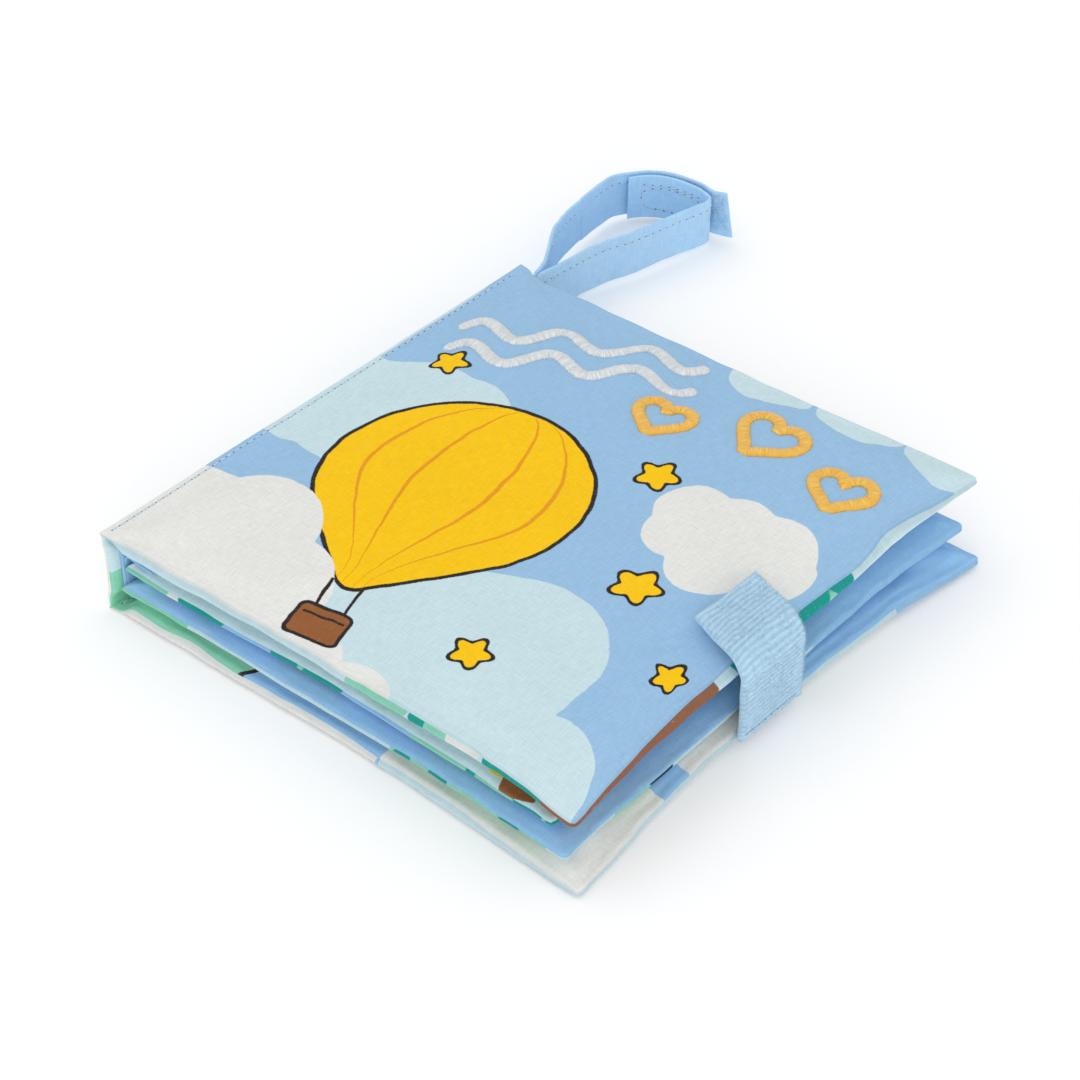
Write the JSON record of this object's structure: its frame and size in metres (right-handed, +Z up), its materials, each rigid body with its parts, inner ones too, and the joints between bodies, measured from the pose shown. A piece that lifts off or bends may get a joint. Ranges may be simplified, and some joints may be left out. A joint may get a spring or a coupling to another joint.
{
  "type": "soft cloth activity book",
  "caption": "Soft padded cloth book that opens on a cloth spine with crinkly leaves, a hook-and-loop closure tab and a carry strap that closes on itself.",
  "frame": {"origin": "centre of the back cover's flat underside, on the surface that the closed book lies on", "axes": "+Z up out of the closed book through its leaves, +Y along the spine towards the carry strap, +X from the spine towards the fore-edge and its tab"},
  "size_m": [0.2139, 0.2926, 0.0342],
  "materials": {
    "sky_cotton": "matte woven cotton print, sky blue",
    "printed_cotton": "matte woven cotton print, pale aqua",
    "mint_cotton": "matte woven cotton print, mint",
    "wadding": "soft polyester wadding",
    "crinkle_film": "thin crinkly plastic film",
    "ribbed_pile": "fuzzy ribbed pile, light blue",
    "strap_cotton": "plain woven cotton, light blue, topstitched",
    "hook_tape": "hook tape, off-white",
    "loop_tape": "loop tape, light blue"
  },
  "bodies": {
    "back_cover": {"back_cover_outer_cloth": "printed_cotton", "back_cover_wadding": "wadding", "back_cover_inner_cloth": "mint_cotton"},
    "leaf_2": {"leaf_2_upper_cloth": "sky_cotton", "leaf_2_crinkle_film": "crinkle_film", "leaf_2_wadding": "wadding", "leaf_2_lower_cloth": "mint_cotton"},
    "spine": {"spine_outer_cloth": "sky_cotton", "spine_inner_cloth": "mint_cotton", "spine_wadding": "wadding", "page_gutter_cloth": "sky_cotton", "strap_inner_tail": "strap_cotton", "strap_outer_tail": "strap_cotton"},
    "leaf_1": {"leaf_1_upper_cloth": "printed_cotton", "leaf_1_crinkle_film": "crinkle_film", "leaf_1_wadding": "wadding", "leaf_1_lower_cloth": "sky_cotton"},
    "front_cover": {"front_cover_outer_cloth": "sky_cotton", "front_cover_wadding": "wadding", "front_cover_inner_cloth": "printed_cotton", "front_cover_loop_patch": "loop_tape"},
    "tab_riser": {"tab_riser_pile_cloth": "ribbed_pile", "tab_riser_lining": "sky_cotton"},
    "tab_flap": {"tab_flap_pile_cloth": "ribbed_pile", "tab_flap_lining": "sky_cotton", "tab_hook_patch": "hook_tape"},
    "strap": {"strap_inner_strand": "strap_cotton", "strap_outer_strand": "strap_cotton", "strap_hook_patch": "hook_tape"},
    "strap_end": {"strap_outer_end": "strap_cotton", "strap_loop_patch": "loop_tape"}
  },
  "joints": [
    {"name": "leaf_2_turn", "type": "hinge", "parent": "back_cover", "child": "leaf_2", "pos_m": [-0.0955, 0, 0], "axis": [0, -1, 0], "range_deg": [0, 75]},
    {"name": "spine_fold", "type": "hinge", "parent": "leaf_2", "child": "spine", "pos_m": [-0.0955, 0, 0], "axis": [0, 1, 0], "range_deg": [-75, 0]},
    {"name": "leaf_1_turn", "type": "hinge", "parent": "spine", "child": "leaf_1", "pos_m": [-0.10193, 0, 0.024], "axis": [0, 1, 0], "range_deg": [-105, 0]},
    {"name": "front_cover_turn", "type": "hinge", "parent": "leaf_1", "child": "front_cover", "pos_m": [-0.10193, 0, 0.024], "axis": [0, -1, 0], "range_deg": [0, 105]},
    {"name": "tab_riser_fold", "type": "hinge", "parent": "back_cover", "child": "tab_riser", "pos_m": [0.09198, -0.0057, 0.00379], "axis": [0, 1, 0], "range_deg": [0, 90]},
    {"name": "tab_flap_peel", "type": "hinge", "parent": "tab_riser", "child": "tab_flap", "pos_m": [0.09198, -0.0057, 0.0342], "axis": [0, 1, 0], "range_deg": [0, 90]},
    {"name": "strap_swing", "type": "hinge", "parent": "spine", "child": "strap", "pos_m": [-0.09626, 0.1034, 0.0112], "axis": [0, 0, 1], "range_deg": [-12, 12]},
    {"name": "strap_end_peel", "type": "hinge", "parent": "strap", "child": "strap_end", "pos_m": [-0.11564, 0.1789, 0.0112], "axis": [0, 0, 1], "range_deg": [0, 110]}
  ]
}
